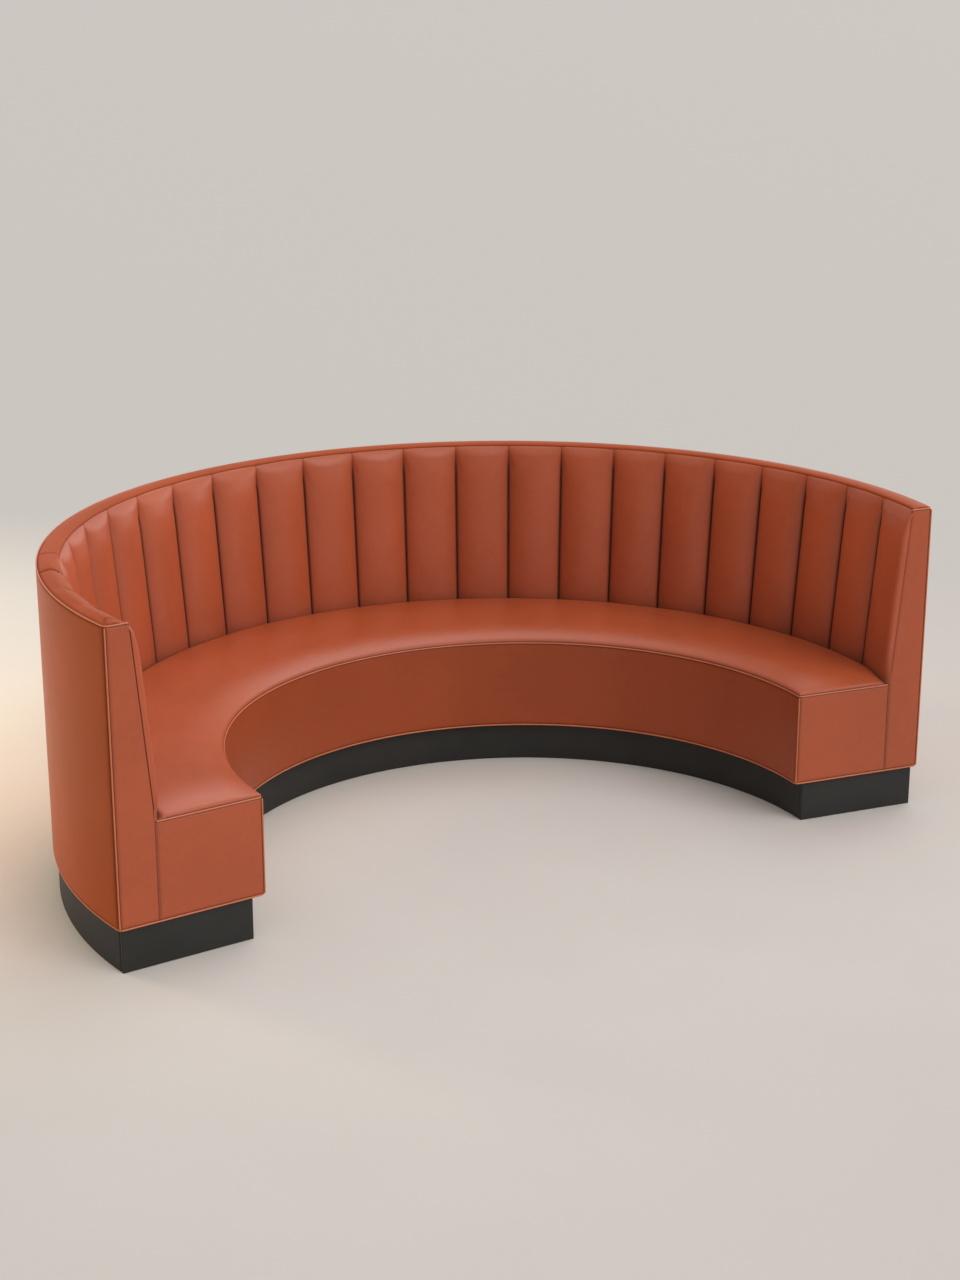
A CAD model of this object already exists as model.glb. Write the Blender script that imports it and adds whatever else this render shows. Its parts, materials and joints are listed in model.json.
# %% [markdown]
# # A horseshoe booth with a channelled back
#
# A restaurant booth is a plywood and timber body under foam and leather. The exact body is
# already there as a fixed frame of CAD solids. This script dresses it: every soft piece gets a
# modelled skin with its seams, and every piece gets a procedural finish.
#
# Most skins here are one idea used again: a sheet that is a function of two parameters on a
# grid, held between an outer face and an inner face, and pulled down towards its seams.

import json
import math

import bpy
import numpy as np
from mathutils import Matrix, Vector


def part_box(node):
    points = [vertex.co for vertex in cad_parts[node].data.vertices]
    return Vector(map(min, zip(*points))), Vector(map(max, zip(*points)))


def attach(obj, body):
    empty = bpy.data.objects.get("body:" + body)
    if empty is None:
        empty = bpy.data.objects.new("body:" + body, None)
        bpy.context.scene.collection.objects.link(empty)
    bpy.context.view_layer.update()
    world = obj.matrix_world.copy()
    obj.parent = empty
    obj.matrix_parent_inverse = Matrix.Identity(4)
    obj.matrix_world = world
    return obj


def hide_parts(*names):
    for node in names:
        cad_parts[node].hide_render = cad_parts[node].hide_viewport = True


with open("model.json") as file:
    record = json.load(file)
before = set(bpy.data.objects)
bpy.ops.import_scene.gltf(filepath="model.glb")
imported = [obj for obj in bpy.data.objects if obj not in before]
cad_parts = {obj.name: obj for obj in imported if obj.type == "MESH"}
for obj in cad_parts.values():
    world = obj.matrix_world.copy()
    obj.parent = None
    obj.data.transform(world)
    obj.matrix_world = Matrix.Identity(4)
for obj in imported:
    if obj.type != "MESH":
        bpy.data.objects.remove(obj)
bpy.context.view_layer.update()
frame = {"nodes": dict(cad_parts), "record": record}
nodes = frame["nodes"]

# %% [markdown]
# ## Sizes and places
#
# The booth has two centres. The back's arcs turn about one, the seat's arcs about another that
# lies further forward, so the seat is deepest in the middle. Both flat ends lie on rays from the
# seat's centre. A handful of radii and one angle place everything, and the heights come from the
# frame's own boxes.

# %% Driving sizes, in metres
BACK_R = 1.476
SEAT_R = 0.974
CENTRES_APART = 0.147
END_ANGLE = math.radians(96)
END_SIN, END_COS = math.sin(END_ANGLE), math.cos(END_ANGLE)
GROOVE_LOW_R = BACK_R - 0.131
GROOVE_LOW_Z = 0.481
GROOVE_TOP_R = BACK_R - 0.081
CHANNEL_FOLD = 0.004
CHANNEL_BULGE = 0.020
WELT_R = 0.0025
COVER_T = 0.005
GAP = 0.0003
PANEL_INSET = COVER_T + GAP
SIDES = ((-1, "left"), (1, "right"))

CHANNELS = sum(name.startswith("channel_") for name in nodes)
COVER_LOW_Z, COVER_TOP_Z = (corner.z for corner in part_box("outer_back_cover"))
FRONT_LOW_Z, FRONT_TOP_Z = (corner.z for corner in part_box("seat_front_cover"))
CUSHION_LOW_Z, CUSHION_TOP_Z = (corner.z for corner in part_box("seat_cushion"))
CHANNEL_LOW_Z, CHANNEL_TOP_Z = (corner.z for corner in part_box("channel_13"))
BAND_LOW_Z, BAND_TOP_Z = (corner.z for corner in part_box("top_band"))
PLINTH_TOP_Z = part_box("plinth_front")[1].z


def reach(r, d=0.0):
    """Distance along an end plane, from the seat's centre to an arc of radius r about the back's
    centre. d is how far inboard of the plane it is measured."""
    return CENTRES_APART * END_COS + np.sqrt(r * r - (d - CENTRES_APART * END_SIN) ** 2)


def back_angle(r, d=0.0):
    """Angle about the back's centre at which an arc of radius r meets the end plane, or a plane
    that lies d inboard of it."""
    return END_ANGLE + np.arcsin((CENTRES_APART * END_SIN - d) / r)


def ray_to_back(r, b):
    """Distance from the seat's centre, along the direction b, to an arc of radius r about the
    back's centre."""
    return CENTRES_APART * np.cos(b) + np.sqrt(r * r - (CENTRES_APART * np.sin(b)) ** 2)


def groove_r(z):
    """Radius of the channel grooves at a height: they lie on a cone that leans back."""
    lean = (z - GROOVE_LOW_Z) * (GROOVE_TOP_R - GROOVE_LOW_R) / (CHANNEL_TOP_Z - GROOVE_LOW_Z)
    return GROOVE_LOW_R + lean


BACK_Y = -(BACK_R - CENTRES_APART + reach(BACK_R) * END_COS) / 2
SEAT_Y = BACK_Y - CENTRES_APART


def stacked(*parts):
    """One array of points from their x, y and z, spread to a common shape."""
    return np.stack(np.broadcast_arrays(*parts), axis=-1).astype(float)


def round_back(a, r, z):
    """Points at the angle a and radius r about the back's centre."""
    return stacked(r * np.sin(a), BACK_Y + r * np.cos(a), z)


def round_seat(b, s, z):
    """Points at the angle b and distance s from the seat's centre."""
    return stacked(s * np.sin(b), SEAT_Y + s * np.cos(b), z)


def on_end(side, x, d, z):
    """Points on an end: x along the end plane, d inboard of it. side is -1 for the left end and 1
    for the right one."""
    across = x * END_SIN - d * END_COS
    along = SEAT_Y + x * END_COS + d * END_SIN
    return stacked(side * across, along, z)


def inwards(b, shift):
    """A step of the length shift away from the nearer end plane, for points at the angle b."""
    return stacked(-np.sign(b) * END_COS, END_SIN, 0.0) * shift[..., None]


print("centres at y", round(BACK_Y, 4), round(SEAT_Y, 4), "channels", CHANNELS)

# %% [markdown]
# ## From arrays to a closed mesh
#
# Each skin is a row of closed rings. A ring runs over the outer face and back along the inner
# face, so its first point lies opposite its last one. That makes the two open ends easy to
# close: a strip of quads joins the points that lie opposite each other, and no pole or long
# thin triangle is left.

# %% Grid helpers
WAVES = 12
SHARP_ANGLE = math.radians(38)


def graded(start, stop, count):
    """Values from start to stop, crowded at both ends: start + span * (1 - cos(k)) / 2."""
    return start + (stop - start) * (1 - np.cos(np.linspace(0, np.pi, count))) / 2


def ripples(seed, shortest, longest):
    """Soft unevenness, about -1 to 1: a mean of sines over a surface, whose wavelengths, directions
    and phases are drawn from the seed. Returns a function of two distances in metres."""
    draw = np.random.default_rng(seed)
    length = draw.uniform(shortest, longest, WAVES)
    turn = draw.uniform(0, 2 * np.pi, WAVES)
    phase = draw.uniform(0, 2 * np.pi, WAVES)

    def height(x, y):
        x, y = np.broadcast_arrays(x, y)
        waves = np.multiply.outer(x, np.cos(turn) / length) + np.multiply.outer(y, np.sin(turn) / length)
        return 2 * np.sin(2 * np.pi * waves + phase).mean(axis=-1)

    return height


def rolled(e, width, drop):
    """Depth of a padded edge at the distance e from its seam: a quarter ellipse that falls by drop
    over the last width. 0 inside, drop at the seam."""
    x = 1 - np.clip(e / width, 0, 1)
    return drop * (1 - np.sqrt(1 - x * x))


def ring_faces(m, n, loop):
    """Quads between m rings of n points, as (j, i), (j, i + 1), (j + 1, i + 1), (j + 1, i). With loop
    the last ring joins the first. Otherwise a strip across each end joins the points i and n - 1 - i."""
    j, i = np.meshgrid(np.arange(m if loop else m - 1), np.arange(n), indexing="ij")
    k, up = (i + 1) % n, (j + 1) % m
    walls = np.stack([j * n + i, j * n + k, up * n + k, up * n + i], axis=-1).reshape(-1, 4)
    if loop:
        return walls
    s = np.arange(n // 2 - 1)
    strip = np.stack([s, s + 1, n - 2 - s, n - 1 - s], axis=-1)
    return np.concatenate([walls, strip[:, ::-1], strip + (m - 1) * n])


def volume_of(points, faces):
    """Signed volume inside a closed mesh of quads: the sum of a . (b x c) / 6 over its triangles."""
    a, b, c, d = (points[faces[:, k]] for k in range(4))
    return (np.einsum("ij,ij->i", a, np.cross(b, c)) + np.einsum("ij,ij->i", a, np.cross(c, d))).sum() / 6


def new_object(name, data):
    """A new object in the scene."""
    made = bpy.data.objects.new(name, data)
    bpy.context.scene.collection.objects.link(made)
    return made


def make_mesh(name, shells):
    """One object from closed shells of rings. A shell is (rings, loop, seam): rings has the shape
    (m, n, 3), and seam, 1 at a seam and 0 far from it, is kept as an attribute for the finish."""
    points, faces, seams, start = [], [], [], 0
    for rings, loop, seam in shells:
        m, n, _ = rings.shape
        flat, quads = rings.reshape(-1, 3), ring_faces(m, n, loop)
        if volume_of(flat, quads) < 0:
            quads = quads[:, ::-1]
        points.append(flat)
        faces.append(quads + start)
        seams.append(np.broadcast_to(seam, (m, n)).ravel())
        start += m * n
    points, faces, seams = map(np.concatenate, (points, faces, seams))
    mesh = bpy.data.meshes.new(name)
    mesh.vertices.add(len(points))
    mesh.vertices.foreach_set("co", points.astype(np.float32).ravel())
    mesh.loops.add(faces.size)
    mesh.loops.foreach_set("vertex_index", faces.astype(np.int32).ravel())
    mesh.polygons.add(len(faces))
    mesh.polygons.foreach_set("loop_start", np.arange(0, faces.size, 4, dtype=np.int32))
    mesh.update(calc_edges=True)
    mesh.polygons.foreach_set("use_smooth", np.ones(len(faces), bool))
    mesh.set_sharp_from_angle(angle=SHARP_ANGLE)
    mesh.attributes.new("seam", "FLOAT", "POINT").data.foreach_set("value", seams.astype(np.float32))
    return new_object(name, mesh)


def sheet_shell(outer, inner, seam):
    """A shell from an outer and an inner face on one grid (m, n, 3): each ring runs out along the
    outer face and back along the inner one."""
    rings = np.concatenate([outer, inner[:, ::-1]], axis=1)
    return rings, False, np.concatenate([seam, seam[:, ::-1]], axis=1)


def seam_mark(e, fade):
    """1 on a seam and falling away from it, as exp(-e / fade)."""
    return np.exp(-e / fade)


def fit(piece, material, slot, *replaced, fill=None):
    """Gives a new piece its finish, its place in the frame and the CAD nodes that it stands for."""
    piece.data.materials.append(material)
    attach(piece, "root")
    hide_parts(*replaced)
    print(f"{piece.name}: {len(piece.data.polygons)} faces, for {', '.join(replaced)}")


# %% [markdown]
# ## Writing shaders as formulas
#
# A material is a graph of nodes, but most of it is arithmetic. One small class wraps a socket,
# so that `0.4 + 0.1 * clouds` adds the Math nodes by itself. Every other kind of node comes from
# one method that sets the node's options first and its sockets after.


# %% A socket that can be used in a formula
class Shade:
    """A socket in a material's node tree. Arithmetic on it adds Math nodes."""

    def __init__(self, tree, socket=None):
        self.tree = tree
        self.socket = socket

    def add(self, kind, settings=None, sockets=None, output=0):
        """A new node of that kind. settings are its options. sockets maps a socket's name or number
        to a value or to another Shade."""
        node = self.tree.nodes.new(kind)
        for key, value in (settings or {}).items():
            setattr(node, key, value)
        for key, value in (sockets or {}).items():
            if isinstance(value, Shade):
                self.tree.links.new(value.socket, node.inputs[key])
            else:
                node.inputs[key].default_value = value
        return Shade(self.tree, node.outputs[output] if len(node.outputs) else None)

    def maths(self, operation, a, b):
        return self.add("ShaderNodeMath", {"operation": operation}, {0: a, 1: b})

    def __add__(self, other):
        return self.maths("ADD", self, other)

    __radd__ = __add__

    def __mul__(self, other):
        return self.maths("MULTIPLY", self, other)

    __rmul__ = __mul__

    def __sub__(self, other):
        return self.maths("SUBTRACT", self, other)

    def __rsub__(self, other):
        return self.maths("SUBTRACT", other, self)

    def mix(self, a, b):
        """A colour from a to b, by this value as the share of b."""
        return self.add("ShaderNodeMix", {"data_type": "RGBA"}, {0: self, 6: a, 7: b}, output=2)

    def remap(self, low, high):
        """0 up to low, 1 from high on, and a smooth step between them."""
        sockets = {"Value": self, "From Min": low, "From Max": high}
        return self.add("ShaderNodeMapRange", {"interpolation_type": "SMOOTHSTEP"}, sockets)


def new_material(name):
    """An empty material, its tree as a Shade to build on, and the object coordinates."""
    material = bpy.data.materials.new(name)
    material.use_nodes = True
    material.node_tree.nodes.clear()
    tree = Shade(material.node_tree)
    return material, tree, tree.add("ShaderNodeTexCoord", output=3)


def finish_surface(tree, sockets):
    """A Principled surface with those sockets, joined to the material's output."""
    surface = tree.add("ShaderNodeBsdfPrincipled", {}, sockets)
    tree.add("ShaderNodeOutputMaterial", {}, {"Surface": surface})


def noise(tree, point, scale, detail=2.0, roughness=0.5):
    sockets = {"Vector": point, "Scale": scale, "Detail": detail, "Roughness": roughness}
    return tree.add("ShaderNodeTexNoise", {}, sockets)


def bump(tree, height, distance, strength):
    sockets = {"Height": height, "Distance": distance, "Strength": strength}
    return tree.add("ShaderNodeBump", {}, sockets)


def tone(colour, factor):
    """A colour made lighter or darker, with its alpha."""
    return (*(min(1.0, c * factor) for c in colour[:3]), 1.0)


# %% [markdown]
# ## Leather
#
# The hide is a rust brown with a satin finish. Up close it has a pebbled grain about a
# millimetre across, with finer pores in it. From a step away its colour is slightly clouded, and
# it is darker and duller down in the seams, where dirt stays and hands never rub. The grain is a
# cell pattern in object coordinates, so it runs on over seams without stretching.
#
# Hides of one colour still differ. The seat and the ends have most sheen, the channels a little
# less, and the seat's front is darker and duller. The outer cover and the band are nearly matt.

# %% The leather finishes
RUST = (0.420, 0.080, 0.0255)
RUST_WORN = (0.60, 0.170, 0.075)
CHANNEL_RUST = (0.465, 0.095, 0.036)
OUTER_RUST = (0.440, 0.092, 0.0255)


def leather(name, colour, grain_scale=820.0, worn=0.10, gloss=0.50):
    """Colour = clouds and grain between two tones of the hide, darker by the seams. Height = rounded
    cells minus pores. Roughness rises in the grain's valleys and in the seams."""
    material, tree, point = new_material(name)
    seam = tree.add("ShaderNodeAttribute", {"attribute_name": "seam"}, output=2)
    clouds = noise(tree, point, 2.6, 3.0).remap(0.3, 0.7)
    mottle = noise(tree, point, 38.0, 4.0, 0.6).remap(0.3, 0.7)
    bend = noise(tree, point, 260.0, 2.0)
    cells = tree.add("ShaderNodeTexVoronoi", {"feature": "SMOOTH_F1"},
                     {"Vector": point, "Scale": grain_scale, "Smoothness": 0.6, "Randomness": 1.0})
    pores = noise(tree, point, 2600.0, 2.0)
    valley = cells.remap(0.25, 0.75)
    hide = clouds.mix(tone(colour, 0.93), tone(colour, 1.06))
    hide = (mottle * 0.22).mix(hide, tone(colour, 1.0 + worn * 2.2))
    hide = (valley * 0.22).mix(hide, tone(colour, 0.55))
    hide = (seam * 0.95).mix(hide, tone(colour, 0.09))
    grain = 1.0 - cells * 0.9 - pores * 0.25 + bend * 0.35
    finish_surface(tree, {
        "Base Color": hide,
        "Roughness": 0.28 + valley * 0.08 + mottle * 0.05 + seam * 0.65,
        "Specular IOR Level": gloss,
        "Normal": bump(tree, grain, 0.00022, 0.55)})
    return material


hide_leather = leather("rust_leather", RUST)
front_leather = leather("rust_leather_front", tone(RUST, 0.82), gloss=0.22)
channel_leather = leather("rust_leather_channel", CHANNEL_RUST, gloss=0.42)
matt_leather = leather("rust_leather_matt", OUTER_RUST, gloss=0.03)
band_leather = leather("rust_leather_band", tone(RUST, 0.94), gloss=0.035)
cord_leather = leather("rust_leather_cord", RUST_WORN, grain_scale=1100.0, worn=0.16, gloss=0.30)
print("leather finishes:", sum(material.name.startswith("rust") for material in bpy.data.materials))

# %% [markdown]
# ## The plinth's paint and the hidden body
#
# The plinth is black paint over board, nearly matt, with the faint orange-peel of a roller.
# Plywood, softwood, foam and zinc plate are inside the body and seen only when it is taken
# apart, but each still has its own figure.


# %% Paint, wood, foam and steel
def painted_board(name):
    """Charcoal paint: a level colour with faint clouds, roller texture in the height."""
    material, tree, point = new_material(name)
    clouds = noise(tree, point, 5.0, 4.0).remap(0.3, 0.7)
    scuffs = noise(tree, point, 60.0, 5.0, 0.7).remap(0.55, 0.75)
    colour = clouds.mix((0.016, 0.016, 0.014, 1), (0.022, 0.021, 0.019, 1))
    colour = (scuffs * 0.25).mix(colour, (0.036, 0.034, 0.030, 1))
    peel = noise(tree, point, 420.0, 2.0)
    finish_surface(tree, {
        "Base Color": colour,
        "Roughness": 0.52 + scuffs * 0.12,
        "Specular IOR Level": 0.4,
        "Normal": bump(tree, peel, 0.0002, 0.5)})
    return material


def wood(name, light, dark, grain_along, layers=0.0):
    """Figure = noise stretched along one axis, with an optional stack of plies as bands in height."""
    material, tree, point = new_material(name)
    stretched = tree.add("ShaderNodeMapping", {}, {"Vector": point, "Scale": grain_along})
    figure = noise(tree, stretched, 14.0, 6.0, 0.62).remap(0.3, 0.72)
    pores = noise(tree, stretched, 160.0, 3.0).remap(0.55, 0.75)
    colour = figure.mix((*light, 1), (*dark, 1))
    colour = (pores * 0.35).mix(colour, tone(dark, 0.6))
    if layers:
        bands = tree.add("ShaderNodeTexWave", {"bands_direction": "Z"},
                         {"Vector": point, "Scale": layers, "Distortion": 0.3, "Detail": 1.0})
        colour = (bands.remap(0.45, 0.55) * 0.3).mix(colour, tone(dark, 0.7))
    finish_surface(tree, {
        "Base Color": colour,
        "Roughness": 0.62 + pores * 0.15,
        "Normal": bump(tree, figure - pores * 0.6, 0.0002, 0.5)})
    return material


def open_foam(name):
    """Cells of foam as a fine cell pattern, yellower and duller in its hollows."""
    material, tree, point = new_material(name)
    cells = tree.add("ShaderNodeTexVoronoi", {}, {"Vector": point, "Scale": 700.0})
    clouds = noise(tree, point, 8.0, 3.0).remap(0.3, 0.7)
    hollow = cells.remap(0.2, 0.7)
    colour = clouds.mix((0.80, 0.74, 0.46, 1), (0.74, 0.66, 0.38, 1))
    colour = (hollow * 0.5).mix((0.84, 0.79, 0.55, 1), colour)
    finish_surface(tree, {
        "Base Color": colour,
        "Roughness": 0.86 + hollow * 0.1,
        "Normal": bump(tree, 1.0 - hollow, 0.0006, 0.7)})
    return material


def zinc_steel(name):
    """Zinc plate: bright metal whose dull patches vary its roughness."""
    material, tree, point = new_material(name)
    patches = noise(tree, point, 900.0, 3.0).remap(0.35, 0.7)
    colour = patches.mix((0.62, 0.62, 0.60, 1), (0.50, 0.50, 0.47, 1))
    finish_surface(tree, {"Base Color": colour, "Metallic": 1.0, "Roughness": 0.28 + patches * 0.22})
    return material


plinth_paint = painted_board("charcoal_paint")
plywood = wood("birch_plywood", (0.66, 0.48, 0.29), (0.50, 0.33, 0.17), (1.0, 6.0, 6.0), layers=220.0)
timber = wood("softwood", (0.70, 0.52, 0.31), (0.52, 0.34, 0.17), (6.0, 6.0, 1.0))
foam = open_foam("upholstery_foam")
steel = zinc_steel("zinc_plate")

BARE_FINISHES = {
    "plywood": plywood, "timber": timber, "foam": foam, "steel": steel, "plinth_black": plinth_paint}
slot_of = {part["node"]: part["material_slot"] for part in frame["record"]["subparts"]}
for node_name, node_object in nodes.items():
    finish = BARE_FINISHES.get(slot_of[node_name])
    if finish:
        node_object.data.materials.clear()
        node_object.data.materials.append(finish)
print("bare nodes finished:", sum(slot_of[name] in BARE_FINISHES for name in nodes))

# %% [markdown]
# ## The channels
#
# Each channel is a long foam roll under leather that is sewn down at both sides and along its
# top. Seen from above its front is a full curve that drops steeply into a narrow groove. Towards
# the top the leather turns back over the foam in a long round shoulder, and at the two top
# corners the spare leather folds into a short dart, so a crease runs down from the corner. The
# outer sides of the two end channels roll over to the booth's ends.
#
# Cloth simulation could blow each one up, but the foam holds a real channel to a firm shape, so
# a formula gives a truer one: a bulge over the groove's cone.

# %% Channel shapes
channel_half = back_angle(GROOVE_TOP_R)
channel_pitch = 2 * channel_half / CHANNELS
GROOVE_TUCK = 0.014
GROOVE_SLIT = 0.0016
SHOULDER_DIP = 0.0025
SHOULDER_RUN = 0.120
DART_TOP_WIDTH = 0.003
DART_WIDTH = 0.022
DART_LENGTH = 0.085
END_ROLL_W = 0.015
END_ROLL_H = 0.012
TUCK_Z = 0.580
MERGED_CHANNELS = 3


def channel_bulge(t, from_top, half_width):
    """How far the front stands before the groove, its greatest depth, and how open the groove is.
    Across it is the mean of an ellipse and a parabola, beside a flat slit. Down from the top the
    depth grows as sqrt(1 - (1 - s)^2.2), with one faint swell, and the slit opens from nothing as
    its floor sinks. In the dart a straight facet joins the slit to a crease that moves inwards as
    it runs down."""
    shoulder = np.sqrt(1 - (1 - np.clip(from_top / SHOULDER_RUN, 0, 1)) ** 2.2)
    swell = 0.0012 * np.exp(-(((from_top - 0.030) / 0.014) ** 2))
    depth = (CHANNEL_BULGE + GROOVE_TUCK) * shoulder + swell
    opened = np.clip(from_top / DART_LENGTH, 0, 1)
    slit = GROOVE_SLIT * opened
    flank = half_width - slit

    def profile(share):
        arc = np.clip(1 - share * share, 0, 1)
        return 0.5 * np.sqrt(arc) + 0.5 * arc

    x = np.maximum((1 - np.abs(t)) * half_width - slit, 0)
    round_share = profile(1 - x / flank)
    crease = DART_TOP_WIDTH + (DART_WIDTH - DART_TOP_WIDTH) * opened
    facet = profile(1 - crease / flank) * np.clip(x / crease, 0, 1)
    hold = np.clip((DART_LENGTH * 1.3 - from_top) / (DART_LENGTH * 0.7), 0, 1)
    share = np.where(x < crease, round_share + (facet - round_share) * hold, round_share)
    floor_share = 0.4 * (1 - opened) ** 1.5
    return (floor_share + (1 - floor_share) * share) * depth, depth, opened


def channel_piece(index):
    """A closed skin round one channel, ring by ring up the back, with closer rings near the top.
    Channels that run on into the band have no seam at the top."""
    middle = -channel_half + channel_pitch * (index + 0.5)
    half = channel_pitch / 2 - GAP / 2 / GROOVE_LOW_R
    top = CHANNEL_TOP_Z - SHOULDER_DIP
    end_side = float(index == CHANNELS - 1) - float(index == 0)
    t = np.sin(np.linspace(-np.pi / 2, np.pi / 2, 65))[None, :]
    upper_rows = 0.84 + 0.16 * np.sin(np.linspace(0, np.pi / 2, 34))
    rows = np.concatenate([np.linspace(0, 1, 40)[:-1] * 0.84, upper_rows])
    z = (CHANNEL_LOW_Z + (top - CHANNEL_LOW_Z) * rows)[:, None]
    from_top = top - z
    half_width = half * GROOVE_LOW_R
    draw = np.random.default_rng(100 + index)
    fullness = 1 + 0.035 * draw.uniform(-1, 1)
    sway = ripples(200 + index, 0.10, 0.35)(t * half_width, z)
    puckers = ripples(300 + index, 0.012, 0.030)(t * half_width, 0.4 * z)
    low_tuck = 0.88 + 0.12 * np.clip((z - CHANNEL_LOW_Z) / 0.05, 0, 1)
    bulge, depth, opened = channel_bulge(t, from_top, half_width)
    x = (1 - np.abs(t)) * half_width
    outer = (t * end_side > 0) & (end_side != 0)
    tuck = np.clip((TUCK_Z - z) / (TUCK_Z - CUSHION_LOW_Z - 0.02), 0, 1) ** 2
    full = np.maximum(depth - rolled(x, END_ROLL_W * (1 + 2 * tuck), END_ROLL_H * (1 + 1.4 * tuck)), 0)
    bulge = np.where(outer, full, bulge) * fullness * low_tuck
    near_edge = np.minimum(x / 0.02, 1)
    bulge = bulge + near_edge * (0.0007 * sway + 0.0007 * puckers * np.exp(-from_top / 0.016))

    def face(r):
        to_end = back_angle(r, GAP) - (middle * end_side + half)
        return round_back(middle + t * half + end_side * to_end * np.clip(t * end_side, 0, 1) ** 3, r, z)

    front_r = groove_r(z) + GROOVE_TUCK - bulge
    front = face(front_r)
    back = face(np.maximum(groove_r(z) + CHANNEL_FOLD - GAP, front_r + 0.0005))
    from_slit = np.maximum(x - GROOVE_SLIT * opened, 0)
    groove = (0.35 + 0.65 * opened) * seam_mark(from_slit, 0.002 + 0.002 * opened)
    seam = np.where(outer, 0.0, np.maximum(groove, 0.25 * opened * seam_mark(x, 0.020)))
    seam = np.maximum(seam, 0.30 * seam_mark(np.maximum(z - CUSHION_TOP_Z + 0.02, 0), 0.10))
    seam = np.maximum(seam, 0.18 * seam_mark(from_top, 0.035))
    if index >= MERGED_CHANNELS:
        seam = np.maximum(seam, 0.4 * seam_mark(from_top, 0.0025))
    return make_mesh(f"channel_leather_{index + 1:02d}", [sheet_shell(front, back, seam)])


for index in range(CHANNELS):
    fit(channel_piece(index), channel_leather, "leather", f"channel_{index + 1:02d}", fill=0.85)

# %% [markdown]
# ## The seat cushion
#
# The seat is one upholstered pad that follows the horseshoe. It rises from the welted seams
# along its front and both ends, first as a tight roll over the seam and then as a long soft
# crown, and it dips again where it is pressed against the channels. It is a height over the
# plan, on a grid of angle and depth.

# %% Seat cushion
EDGE_ROLL_W = 0.011
EDGE_ROLL_H = 0.0075
SEAM_RIM = 0.0006
CROWN_RUN = 0.150
CROWN_END_RUN = 0.170
CROWN_BACK_SHARE = 24 / 34
SEAM_SETBACK = 0.0022
CORNER_R = 0.009
GROOVE_REACH = 0.004
PRESS_WIDTH = 0.034
PRESS_DEPTH = 0.020


def corner_pull(x, y):
    """How far a point moves in x and y so that a square corner becomes a round one of CORNER_R."""
    dx, dy = CORNER_R - x, CORNER_R - y
    gap = np.hypot(dx, dy)
    pull = np.where((dx > 0) & (dy > 0), np.maximum(gap - CORNER_R, 0) / np.maximum(gap, 1e-9), 0)
    return pull * dx, pull * dy


def crown_rise(x, run):
    """Share of the crown at the distance x from a seam: 1 - (1 - x / run)^2.4, level after run."""
    return 1 - (1 - np.clip(x / run, 0, 1)) ** 2.4


def seat_cushion_piece():
    """Top = rim + edge roll + crown * share over the depth * rise from the front * rise from the end."""
    b = graded(-END_ANGLE, END_ANGLE, 361)[:, None]
    u = graded(0, 1, 72)[None, :]
    front = SEAT_R + SEAM_SETBACK
    back = ray_to_back(groove_r(CUSHION_LOW_Z + 0.02) - GROOVE_REACH, b)
    s = front + u * (back - front)
    from_end = s * np.sin(END_ANGLE - np.abs(b))
    from_front = s - front
    from_back = back - s
    move_front, move_end = corner_pull(from_front, from_end)
    edge = np.minimum(from_front + move_front, from_end + move_end)
    share = np.where(u < 0.5, 1.0, 1 - (1 - CROWN_BACK_SHARE) * (2 * u - 1) ** 2)
    crown = (CUSHION_TOP_Z - CUSHION_LOW_Z - SEAM_RIM - EDGE_ROLL_H) * share
    crown = crown * crown_rise(from_front, CROWN_RUN) * crown_rise(from_end, CROWN_END_RUN)
    along = b * s
    sway = ripples(11, 0.18, 0.60)(along, s)
    puckers = ripples(12, 0.014, 0.040)(along + 0.3 * np.sign(b) * s, 0.25 * s)
    settle = 1 - np.exp(-edge / 0.05)
    top = CUSHION_LOW_Z + SEAM_RIM + EDGE_ROLL_H - rolled(edge, EDGE_ROLL_W, EDGE_ROLL_H)
    top = top + crown + 0.0010 * sway * settle
    top = top + 0.0005 * puckers * np.exp(-edge / 0.020) * np.minimum(edge / 0.004, 1)
    top = top - rolled(from_back, PRESS_WIDTH, PRESS_DEPTH)
    top = np.maximum(top, CUSHION_LOW_Z + SEAM_RIM)
    shift = SEAM_SETBACK * np.clip(1 - from_end / 0.06, 0, 1) + move_end
    points_top = round_seat(b, s + move_front, top) + inwards(b, shift)
    points_low = round_seat(b, s + move_front, CUSHION_LOW_Z) + inwards(b, shift)
    press = seam_mark(np.maximum(from_back - PRESS_WIDTH / 2, 0), 0.006)
    press = press * (1 - 0.7 * seam_mark(from_end, 0.015))
    seam = np.maximum(0.6 * seam_mark(edge, 0.0022), press)
    return make_mesh("seat_cushion_leather", [sheet_shell(points_top, points_low, seam)])


fit(seat_cushion_piece(), hide_leather, "leather", "seat_cushion", fill=0.8)

# %% [markdown]
# ## The band over the top rail
#
# A padded strip of leather covers the top rail. Its cross section is a low crown with a rolled
# edge at each seam, carried round the back's arc. Its inner edge stands back a little, so that
# the channels' round tops show. At the left end the band's leather runs on into the tops of the
# last channels: the inner seam closes there, the band slopes down to the channels, and it lies
# in soft humps between four folds and one small arc.

# %% Top band
BAND_CROWN = 0.005
BAND_SETBACK = 0.006
BAND_ROLL_W = 0.010
BAND_ROLL_H = 0.0055
MERGE_WIDTH = 0.040
band_outer_r = BACK_R - PANEL_INSET
band_inner_r = GROOVE_TOP_R + CHANNEL_FOLD + GAP


def left_merge(a):
    """1 where the band runs on into the channels at the left end, 0 elsewhere, with a smooth step."""
    x = np.clip((3.8 - (a + channel_half) / channel_pitch) / 0.7, 0, 1)
    return x * x * (3 - 2 * x)


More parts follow.
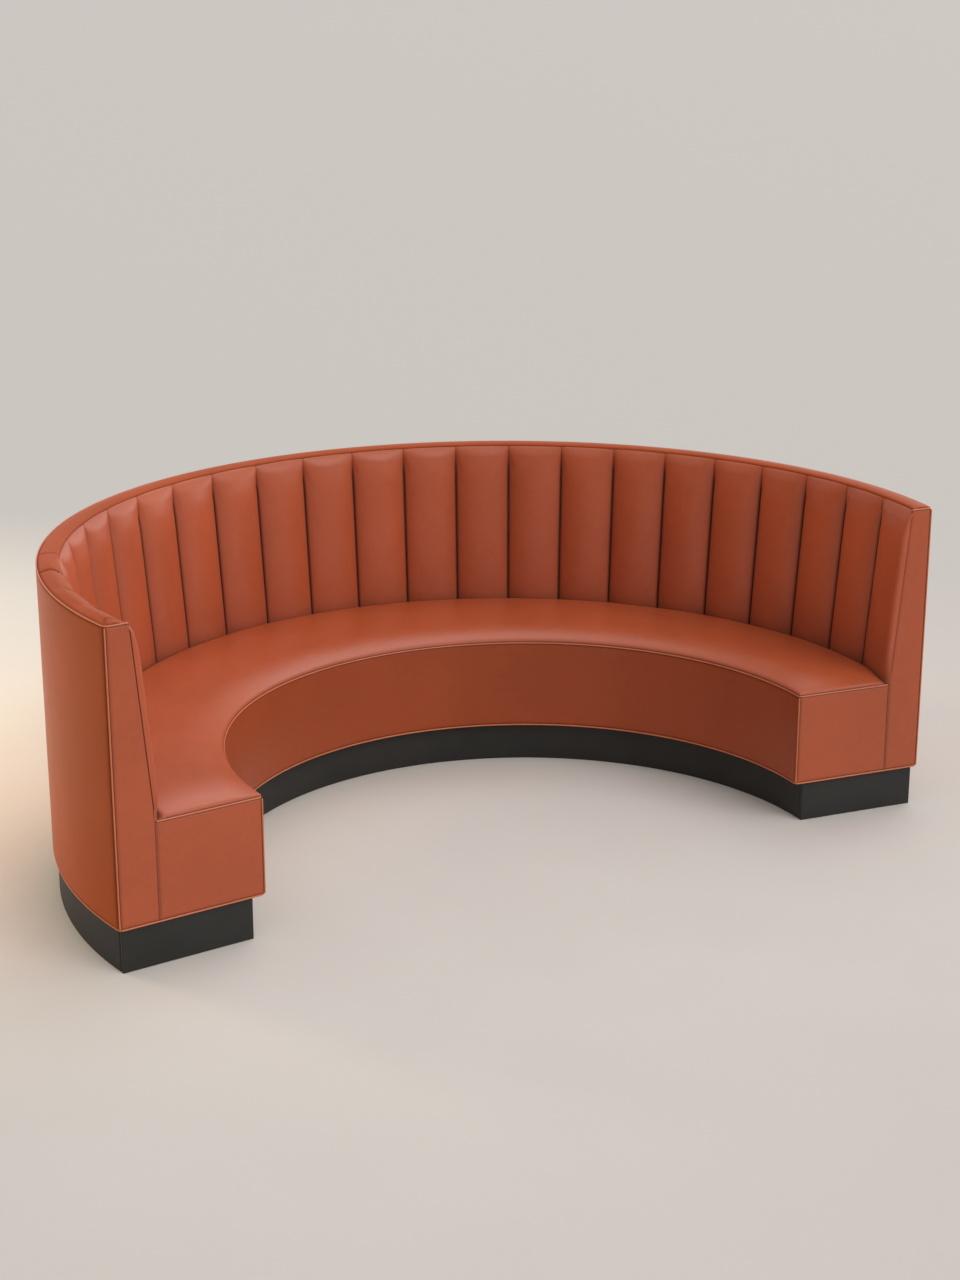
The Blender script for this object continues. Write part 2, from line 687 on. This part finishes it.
def band_creases(a, r, u, from_end):
    """Depth of the folds that cross the band: narrow valleys along gently bent lines, and one along
    a small arc beside the end. Each line is a groove's number, depth, bow and length over u."""
    depth = 0.0
    for groove, deep, bow, length in ((4, 0.0014, 0.03, 1.1), (3, 0.0046, 0.11, 1.1),
                                      (2, 0.0028, 0.05, 0.50), (1, 0.0022, 0.04, 0.36)):
        line = (groove + bow * np.sin(np.pi * u)) * channel_pitch - channel_half
        hold = np.clip((length - u) / 0.25, 0, 1)
        depth = depth + deep * hold * np.exp(-np.abs((a - line) * r) / 0.005)
    across = (u - 0.45) / 0.42
    ring = np.hypot(across, from_end / 0.050) - 1
    return depth + 0.0018 * (a < 0) * np.exp(-np.abs(ring) / 0.12)


def band_pillows(a, u):
    """Height of the soft humps between the folds at the left end, as |sin(pi g)|^0.7 over the
    groove number g."""
    g = (a + channel_half) / channel_pitch - 0.08 * np.sin(np.pi * u)
    return left_merge(a) * 0.0044 * np.abs(np.sin(np.pi * g)) ** 0.7 * np.clip(1.1 - u, 0, 1)


def top_band_piece():
    """Height = edge + crown * sin(pi u)^0.7 - roll at the nearest seam - creases, with u across the
    band. Where it merges with the channels it slopes down to them instead of rolling."""
    angle_end = back_angle(band_outer_r, PANEL_INSET)
    share = np.concatenate([graded(-1, -0.5, 421)[:-1], graded(-0.5, 1, 300)])
    u = graded(0, 1, 40)[None, :]
    inner_r = band_inner_r + BAND_SETBACK - BAND_SETBACK * left_merge(share * angle_end)[:, None]
    width = band_outer_r - inner_r
    r = inner_r + u * width
    limit = back_angle(r, PANEL_INSET)
    a = share[:, None] * limit
    from_end = (limit - np.abs(a)) * r
    merge = left_merge(a)
    side = np.minimum((1 - u) * width, from_end)
    edge = np.minimum(u * width + merge, side)
    sway = ripples(21, 0.10, 0.40)(a * r, r)
    puckers = ripples(22, 0.012, 0.035)(a * r, 0.3 * r)
    top = BAND_TOP_Z - BAND_CROWN + BAND_CROWN * np.clip(np.sin(np.pi * u), 0, 1) ** 0.7
    step_down = top - (CHANNEL_TOP_Z - SHOULDER_DIP)
    slope = (1 - np.clip(u * width / MERGE_WIDTH, 0, 1)) ** 2
    inner_roll = rolled(u * width, BAND_ROLL_W, BAND_ROLL_H)
    top = top - merge * slope * (step_down + 0.004) - (1 - merge) * inner_roll
    top = top - rolled(side, BAND_ROLL_W, BAND_ROLL_H) + 0.0004 * sway * (1 - np.exp(-edge / 0.02))
    top = top + 0.0004 * puckers * np.exp(-edge / 0.012) * np.minimum(edge / 0.003, 1)
    creases = band_creases(a, r, u, from_end)
    top = top - creases + (band_pillows(a, u) - 0.0015 * merge) * np.minimum(side / 0.02, 1)
    seam = np.maximum(0.45 * seam_mark(edge, 0.003), np.minimum(creases / 0.004, 0.6))
    shell = sheet_shell(round_back(a, r, top), round_back(a, r, BAND_LOW_Z), seam)
    return make_mesh("top_band_leather", [shell])


fit(top_band_piece(), band_leather, "leather", "top_band", fill=0.7)

# %% [markdown]
# ## The flat and bent covers
#
# The outside of the back, the seat's front and the two ends are leather over a thin wadding. A
# cover is drawn tight between its welts, so it is level in the middle and rolls down at each
# edge. One function makes them all: it is given the place of a point at a depth under the
# surface, and the distance to the nearest seam.

# %% Covers
COVER_ROLL_W = 0.011
COVER_ROLL_H = 0.0044
COVER_SAG = 0.0006
COVER_PUCKER = 0.0004


def cover_piece(name, node, finish, place, u, v, edge, seeds, shade=None):
    """place(u, v, depth) gives points, and edge(u, v) the distance to the nearest seam. Depth is the
    edge's roll plus a soft sag, and puckers that die away from the seams. shade(u, v), where given,
    is the distance to an edge that is dark over a wider strip."""
    u, v = u[:, None], v[None, :]
    e = edge(u, v)
    sway = ripples(seeds, 0.25, 0.90)(u, v) + 0.5 * ripples(seeds + 1, 0.06, 0.2)(u, v)
    gathers = ripples(seeds + 2, 0.012, 0.035)(u, v)
    depth = rolled(e, COVER_ROLL_W, COVER_ROLL_H) + COVER_SAG * (1 + sway) / 2 * (1 - np.exp(-e / 0.03))
    depth = depth + COVER_PUCKER * (1 + gathers) / 2 * np.exp(-e / 0.014) * np.minimum(e / 0.004, 1)
    depth = np.minimum(depth, COVER_T - 0.0006)
    outer = place(u, v, depth)
    inner = place(u, v, COVER_T)
    seam = 0.75 * seam_mark(e, 0.0028)
    if shade:
        seam = np.maximum(seam, 0.75 * seam_mark(shade(u, v), 0.010))
    fit(make_mesh(name, [sheet_shell(outer, inner, seam)]), finish, "leather", node, fill=0.9)


def nearest(*distances):
    """The smallest of several distances, point by point."""
    return np.minimum.reduce(np.broadcast_arrays(*distances))


outer_half = back_angle(BACK_R, PANEL_INSET) * BACK_R
cover_piece(
    "outer_back_leather", "outer_back_cover", matt_leather,
    lambda u, v, depth: round_back(u / BACK_R, BACK_R - depth, v),
    graded(-outer_half, outer_half, 361), graded(COVER_LOW_Z, COVER_TOP_Z, 96),
    lambda u, v: nearest(outer_half - np.abs(u), v - COVER_LOW_Z, COVER_TOP_Z - v),
    31, shade=lambda u, v: outer_half - np.abs(u))

front_half = END_ANGLE * SEAT_R - PANEL_INSET
cover_piece(
    "seat_front_leather", "seat_front_cover", front_leather,
    lambda u, v, depth: round_seat(u / SEAT_R, SEAT_R + depth, v),
    graded(-front_half, front_half, 301), graded(FRONT_LOW_Z, FRONT_TOP_Z, 64),
    lambda u, v: nearest(front_half - np.abs(u), v - FRONT_LOW_Z, FRONT_TOP_Z - v),
    41)

seat_end_x0 = SEAT_R + PANEL_INSET
end_seam_x = reach(groove_r(CUSHION_LOW_Z) + CHANNEL_FOLD)
back_end_x1 = reach(BACK_R - PANEL_INSET)


def back_end_x0(z):
    """The inner edge of a back end cover: upright to the seat's seam, then leaning with the channels."""
    return reach(groove_r(np.maximum(z, CUSHION_LOW_Z)) + CHANNEL_FOLD + GAP)


def back_end_place(side):
    """u is the share of the width from the leaning seam to the outer edge, v the height."""
    return lambda u, v, depth: on_end(side, back_end_x0(v) + u * (back_end_x1 - back_end_x0(v)), depth, v)


def back_end_edge(u, v):
    width = back_end_x1 - back_end_x0(v)
    return nearest(u * width, (1 - u) * width, v - COVER_LOW_Z, COVER_TOP_Z - v)


for side, word in SIDES:
    cover_piece(
        f"seat_end_leather_{word}", f"seat_end_cover_{word}", hide_leather,
        lambda u, v, depth, side=side: on_end(side, u, depth, v),
        graded(seat_end_x0, end_seam_x - GAP, 64), graded(FRONT_LOW_Z, FRONT_TOP_Z, 64),
        lambda u, v: nearest(u - seat_end_x0, end_seam_x - GAP - u, v - FRONT_LOW_Z, FRONT_TOP_Z - v),
        51 + side)
    cover_piece(
        f"back_end_leather_{word}", f"back_end_cover_{word}", hide_leather, back_end_place(side),
        graded(0, 1, 36), graded(COVER_LOW_Z, COVER_TOP_Z, 120), back_end_edge, 61 + side)

# %% [markdown]
# ## Welts
#
# A welt is a cord wrapped in a strip of leather and sewn into a seam. It is a circle carried
# along a path. The bottom welt is one closed loop, and the welts of the seat and of the top are
# open. A real welt cannot turn a sharp corner, so each path is first laid out with sharp corners
# at an even step, and then every point is replaced by the mean of its neighbours.

# %% Welt paths
PATH_STEP = 0.004
LINE_STEP = 0.002
CORNER_STEPS = 3
CORD_SIDES = 12


def even_path(corners, loop=False):
    """The points of several stretches joined and spaced evenly by their distance along the path."""
    points = np.concatenate(corners)
    if loop:
        points = np.concatenate([points, points[:1]])
    keep = np.append(True, np.linalg.norm(np.diff(points, axis=0), axis=1) > 1e-6)
    points = points[keep]
    length = np.append(0, np.cumsum(np.linalg.norm(np.diff(points, axis=0), axis=1)))
    count = int(round(length[-1] / PATH_STEP))
    at = np.linspace(0, length[-1], count + 1)
    even = np.stack([np.interp(at, length, points[:, k]) for k in range(3)], axis=1)
    return even[:-1] if loop else even


def eased(points, loop):
    """Each point becomes the mean of the few points on both sides of it. An open path is first
    continued past its ends by turning it half round the end point, so the ends stay in place."""
    n = CORNER_STEPS
    if loop:
        before, after = points[-n:], points[:n]
    else:
        before, after = 2 * points[0] - points[n:0:-1], 2 * points[-1] - points[-2:-n - 2:-1]
    wide = np.concatenate([before, points, after])
    sums = np.cumsum(np.concatenate([np.zeros((1, 3)), wide]), axis=0)
    return (sums[2 * n + 1:] - sums[:-2 * n - 1]) / (2 * n + 1)


def cord_shell(points, loop, seed, seam=0.0):
    """A circle carried along the points. Its plane is square to the path, its radius swells and
    thins by a few percent, and an open cord narrows to a rounded end. seam darkens all of it."""
    if loop:
        tangent = np.roll(points, -1, axis=0) - np.roll(points, 1, axis=0)
    else:
        tangent = np.gradient(points, axis=0)
    tangent = tangent / np.linalg.norm(tangent, axis=1, keepdims=True)
    upright = np.abs(tangent[:, 2:]) > 0.9
    guide = np.where(upright, np.array([[0.0, 1.0, 0.0]]), np.array([[0.0, 0.0, 1.0]]))
    across = np.cross(tangent, guide)
    across = across / np.linalg.norm(across, axis=1, keepdims=True)
    over = np.cross(across, tangent)
    step = np.linalg.norm(np.diff(points, axis=0), axis=1).mean()
    along = np.arange(len(points)) * step
    size = WELT_R * (1 + 0.035 * ripples(seed, 0.015, 0.08)(along, 0.0))
    if not loop:
        from_end = np.minimum(along, along[::-1])
        size = size * np.sqrt(1 - (1 - np.clip(from_end / WELT_R, 0.02, 1)) ** 2)
    turn = np.linspace(0, 2 * np.pi, CORD_SIDES, endpoint=False)
    ring = across[:, None] * np.cos(turn)[:, None] + over[:, None] * np.sin(turn)[:, None]
    return points[:, None] + size[:, None, None] * ring, loop, seam


def line(start, stop):
    """Evenly spaced points from start to stop."""
    count = max(2, int(round(np.linalg.norm(np.subtract(stop, start)) / LINE_STEP)))
    return np.linspace(start, stop, count)


back_cord_r = BACK_R - WELT_R
seat_cord_r = SEAT_R + WELT_R
outer_corner_x = reach(back_cord_r, WELT_R)
inner_corner_x = math.sqrt(seat_cord_r**2 - WELT_R**2)


def back_arc(z):
    half = back_angle(back_cord_r, WELT_R)
    return round_back(np.linspace(-half, half, 1500), back_cord_r, z)


def seat_arc(z):
    half = END_ANGLE - WELT_R / seat_cord_r
    return round_seat(np.linspace(-half, half, 1000), seat_cord_r, z)


def end_run(side, x0, x1, z):
    return line(on_end(side, x0, WELT_R, z), on_end(side, x1, WELT_R, z))


def welt_piece(name, path, loop, seed, node):
    """One welt, from a path whose corners are still sharp."""
    shell = cord_shell(eased(path, loop), loop, seed)
    fit(make_mesh(name, [shell]), cord_leather, "welt_leather", node)


# %% Welts made
bottom_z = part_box("bottom_welt")[0].z + WELT_R
bottom_path = even_path([
    back_arc(bottom_z), end_run(1, outer_corner_x, inner_corner_x, bottom_z),
    seat_arc(bottom_z)[::-1], end_run(-1, inner_corner_x, outer_corner_x, bottom_z)], loop=True)
welt_piece("bottom_welt_cord", bottom_path, True, 71, "bottom_welt")

top_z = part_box("top_welt")[1].z - WELT_R
top_inner_x = reach(band_inner_r, WELT_R)
top_path = even_path([
    end_run(-1, top_inner_x, outer_corner_x, top_z), back_arc(top_z),
    end_run(1, outer_corner_x, top_inner_x, top_z)])
welt_piece("top_welt_cord", top_path, False, 72, "top_welt")

seat_seam_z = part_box("seat_welt")[1].z - WELT_R
seat_path = even_path([
    end_run(-1, end_seam_x - GAP, inner_corner_x, seat_seam_z), seat_arc(seat_seam_z),
    end_run(1, inner_corner_x, end_seam_x - GAP, seat_seam_z)])
welt_piece("seat_welt_cord", seat_path, False, 73, "seat_welt")

for side, word in SIDES:
    uprights = [(outer_corner_x, COVER_LOW_Z, COVER_TOP_Z), (inner_corner_x, FRONT_LOW_Z, FRONT_TOP_Z),
                (end_seam_x, FRONT_LOW_Z, FRONT_TOP_Z)]
    shells = [cord_shell(even_path([line(on_end(side, x, WELT_R, z0), on_end(side, x, WELT_R, z1))]),
                         False, 80 + side + 3 * k, seam=0.6 * (k == 2))
              for k, (x, z0, z1) in enumerate(uprights)]
    fit(make_mesh(f"end_welt_cords_{word}", shells), cord_leather, "welt_leather", f"end_welts_{word}")

# %% [markdown]
# ## The plinth
#
# The booth stands on four painted boards, set in under the upholstery so that feet have room.
# Each board is a rounded rectangle carried along an arc or a straight line.

# %% Plinth boards
PLINTH_T = 0.015
PLINTH_IN_FRONT = 0.037
PLINTH_IN_BACK = 0.014
PLINTH_IN_END = 0.016
EDGE_ROUND = 0.003
EDGE_POINTS = 6


def board_profile():
    """A rounded rectangle of the board's thickness and height, as depth and height: a half outline on
    each side, so that the points i and n - 1 - i lie opposite each other."""
    turn = np.linspace(0, np.pi / 2, EDGE_POINTS)
    x = np.concatenate([EDGE_ROUND * (1 - np.sin(turn)), EDGE_ROUND * (1 - np.cos(turn))])
    z = np.concatenate([EDGE_ROUND * (1 - np.cos(turn)), PLINTH_TOP_Z - EDGE_ROUND * (1 - np.sin(turn))])
    return np.concatenate([x, (PLINTH_T - x)[::-1]]), np.concatenate([z, z[::-1]])


def board_piece(name, node, place, stations):
    """The profile carried along the stations. Both ends are drawn in a little, as eased edges are."""
    depth, height = board_profile()
    from_end = np.minimum(stations - stations[0], stations[-1] - stations)[:, None]
    ease = rolled(from_end, EDGE_ROUND, EDGE_ROUND)
    depth = PLINTH_T / 2 + (depth[None, :] - PLINTH_T / 2) * (1 - 2 * ease / PLINTH_T)
    points = place(stations[:, None], depth, height[None, :])
    fit(make_mesh(name, [(points, False, 0.0)]), plinth_paint, "plinth_black", node)


front_r = SEAT_R + PLINTH_IN_FRONT
rear_r = BACK_R - PLINTH_IN_BACK
joint_inset = PLINTH_IN_END + PLINTH_T + GAP
front_span = END_ANGLE * front_r - joint_inset
back_span = back_angle(rear_r, joint_inset) * rear_r
board_piece("plinth_board_front", "plinth_front",
            lambda s, d, z: round_seat(s / front_r, front_r + d, z), graded(-front_span, front_span, 201))
board_piece("plinth_board_back", "plinth_back",
            lambda s, d, z: round_back(s / rear_r, rear_r - d, z), graded(-back_span, back_span, 301))
end_x0 = math.sqrt(front_r**2 - PLINTH_IN_END**2)
end_x1 = float(reach(rear_r, PLINTH_IN_END))
for side, word in SIDES:
    board_piece(f"plinth_board_{word}", f"plinth_end_{word}",
                lambda s, d, z, side=side: on_end(side, s, PLINTH_IN_END + d, z),
                graded(end_x0, end_x1, 81))

# %% [markdown]
# ## Foam under the covers
#
# Two foam pieces are hidden under the leather: a firm block on the seat deck, and a sheet that
# leans behind the channels. They are cut foam, so they are plain, with edges eased only a
# little.

# %% Foam pieces
BACK_FOAM_T = 0.015
FRONT_PLY_T = 0.006
foam_low, foam_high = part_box("back_foam")
block_low, block_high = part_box("seat_foam")


def back_foam_piece():
    """A sheet between two cones, eased at its edges. Its front lies just behind the grooves."""
    z = graded(foam_low.z, foam_high.z, 24)[None, :]
    rest = groove_r(z) + GROOVE_TUCK + 0.001
    behind = groove_r(z) + CHANNEL_FOLD + BACK_FOAM_T
    half = back_angle(behind, PANEL_INSET)
    a = graded(-1, 1, 241)[:, None] * half
    edge = nearest((half - np.abs(a)) * rest, z - foam_low.z, foam_high.z - z)
    ease = rolled(edge, 0.003, 0.002)
    front = round_back(a, rest + ease, z)
    back = round_back(a, behind - ease, z)
    return make_mesh("back_foam_sheet", [sheet_shell(front, back, np.zeros_like(edge))])


def seat_foam_piece():
    """A level block whose plan follows the seat, eased at its top and bottom edges."""
    b = graded(-END_ANGLE, END_ANGLE, 241)[:, None]
    u = graded(0, 1, 30)[None, :]
    s0 = SEAT_R + PANEL_INSET + FRONT_PLY_T + 2 * GAP
    s1 = ray_to_back(groove_r(block_low.z) + CHANNEL_FOLD - GAP, b)
    s = s0 + u * (s1 - s0)
    from_end = s * np.sin(END_ANGLE - np.abs(b))
    edge = nearest(s - s0, s1 - s, from_end)
    ease = rolled(edge, 0.004, 0.003)
    inboard = inwards(b, PANEL_INSET * np.clip(1 - from_end / 0.2, 0, 1))
    top = round_seat(b, s, block_high.z - ease) + inboard
    low = round_seat(b, s, block_low.z + ease) + inboard
    return make_mesh("seat_foam_block", [sheet_shell(top, low, np.zeros_like(edge))])


fit(back_foam_piece(), foam, "foam", "back_foam", fill=1.0)
fit(seat_foam_piece(), foam, "foam", "seat_foam", fill=1.0)

# %% [markdown]
# ## Floor, light and camera
#
# The booth stands on a pale seamless floor that reaches past the horizon of the picture. A soft
# sky gives most of the light, from overhead and low on the right. The key light comes from the
# front right and a weaker one from the rear right. A small warm lamp at the rear left glows on
# the left arm and on the floor, which is paler there. Reflections leave that lamp out, since it
# would show as a yellow spot on the leather. The camera's place, turn and lens were worked out
# from the booth's own curves in the photograph.

# %% Floor
FLOOR_R = 140.0
WARM_PATCH = (-2.8, 2.2, 0.0)


def floor_material():
    """Warm pale grey with very faint clouds, a little darker away from the booth, and paler and
    warmer in a wide patch at the rear left."""
    material, tree, point = new_material("studio_floor")
    clouds = noise(tree, point, 2.2, 3.0).remap(0.3, 0.7)
    colour = clouds.mix((0.580, 0.541, 0.505, 1), (0.592, 0.553, 0.517, 1))
    away = tree.add("ShaderNodeVectorMath", {"operation": "LENGTH"}, {0: point}, output=1)
    colour = away.remap(1.5, 4.0).mix(colour, (0.528, 0.500, 0.471, 1))
    sockets = {0: point, 1: WARM_PATCH}
    patch = tree.add("ShaderNodeVectorMath", {"operation": "DISTANCE"}, sockets, output=1)
    colour = (1.0 - patch.remap(1.7, 3.9)).mix(colour, (0.80, 0.725, 0.625, 1))
    fine = noise(tree, point, 900.0, 2.0)
    finish_surface(tree, {
        "Base Color": colour,
        "Roughness": 0.9,
        "Specular IOR Level": 0.15,
        "Normal": bump(tree, fine, 0.0002, 0.2)})
    return material


turn = np.linspace(0, 2 * np.pi, 97)[:-1, None]
distance = np.array([0.001, 2.0, 4.0, 8.0, 16.0, 32.0, 64.0, FLOOR_R])[None, :]
disc = stacked(distance * np.cos(turn), distance * np.sin(turn), 0.0)
quads = ring_faces(*disc.shape[:2], True).reshape(*disc.shape[:2], 4)[:, :-1]
floor_mesh = bpy.data.meshes.new("floor")
floor_mesh.from_pydata(disc.reshape(-1, 3).tolist(), [], quads.reshape(-1, 4).tolist())
floor = new_object("floor", floor_mesh)
floor_mesh.materials.append(floor_material())

# %% World and lamps
HORIZON_RIGHT = 3.6
HORIZON_FRONT = 0.25
HORIZON_BACK = 0.75
ZENITH = 0.96
DOME = 0.16
TILT = 0.15


def studio_world():
    """Strength by direction: dome + zenith * (z - tilt * y)^2, brightest a little to the front of
    overhead, + (1 - z)^2 * (a lobe x^3 or y^3 for each of three sides). The camera sees a plain
    pale backdrop in its place."""
    world = bpy.data.worlds.new("studio")
    bpy.context.scene.world = world
    world.use_nodes = True
    world.node_tree.nodes.clear()
    sky = Shade(world.node_tree)
    way = sky.add("ShaderNodeTexCoord")
    x, y, z = (sky.add("ShaderNodeSeparateXYZ", {}, {0: way}, output=k) for k in range(3))

    def above_zero(value):
        return sky.maths("MAXIMUM", value, 0.0)

    def lobe(value):
        value = above_zero(value)
        return value * value * value

    low = 1.0 - above_zero(z)
    sides = lobe(x) * HORIZON_RIGHT + lobe(y * -1.0) * HORIZON_FRONT + lobe(y) * HORIZON_BACK
    high = above_zero(z - y * TILT)
    level = high * high * ZENITH + low * low * sides + DOME
    seen = sky.add("ShaderNodeLightPath")
    lit = sky.add("ShaderNodeBackground", {}, {"Color": (1.0, 0.99, 0.975, 1), "Strength": level})
    shown = sky.add("ShaderNodeBackground", {}, {"Color": (0.62, 0.58, 0.54, 1), "Strength": 1.0})
    surface = sky.add("ShaderNodeMixShader", {}, {0: seen, 1: lit, 2: shown})
    sky.add("ShaderNodeOutputWorld", {}, {"Surface": surface})


def aim(data, place, toward, reflected=True):
    """A lamp at place whose light goes along toward. The camera never sees it, and reflections
    show it only if reflected."""
    lamp = new_object(data.name, data)
    lamp.location = place
    lamp.rotation_euler = Vector(toward).to_track_quat("-Z", "Y").to_euler()
    lamp.visible_camera = False
    lamp.visible_glossy = reflected


def sun_lamp(name, toward, power, softness):
    """Even light from far away. softness is the angle in degrees that the lamp fills."""
    data = bpy.data.lights.new(name, "SUN")
    data.energy = power
    data.angle = math.radians(softness)
    aim(data, (0, 0, 5), toward)


def warm_lamp(place, target):
    """A small square lamp whose soft cone points at target."""
    data = bpy.data.lights.new("warm_lamp", "AREA")
    data.spread = math.radians(80)
    data.size = 0.9
    data.energy = 16
    data.color = (1.0, 0.73, 0.42)
    aim(data, place, Vector(target) - Vector(place), reflected=False)


studio_world()
sun_lamp("key_light", (-0.35, 0.88, -0.85), 1.06, 36)
sun_lamp("rear_light", (-0.6, -0.5, -1.0), 0.53, 40)
warm_lamp((-3.4, 2.7, 1.45), (-1.35, 0.6, 0.6))

# %% Camera
FRAME_HEIGHT = 1280
FOCAL_PIXELS = 2220.9
LOOK_DOWN = 17.31
LOOK_RIGHT = 28.14
camera_data = bpy.data.cameras.new("camera")
camera_data.sensor_width = 36.0
camera_data.lens = FOCAL_PIXELS / FRAME_HEIGHT * camera_data.sensor_width
camera_data.clip_end = 400.0
camera = new_object("camera", camera_data)
camera.location = (-3.2917, BACK_Y - 5.9494, 2.8476)
camera.rotation_euler = (math.radians(90 - LOOK_DOWN), 0.0, math.radians(-LOOK_RIGHT))
bpy.context.scene.camera = camera
bpy.context.scene.view_settings.view_transform = "Standard"
print("lens", round(camera_data.lens, 2), "camera at", [round(x, 3) for x in camera.location])
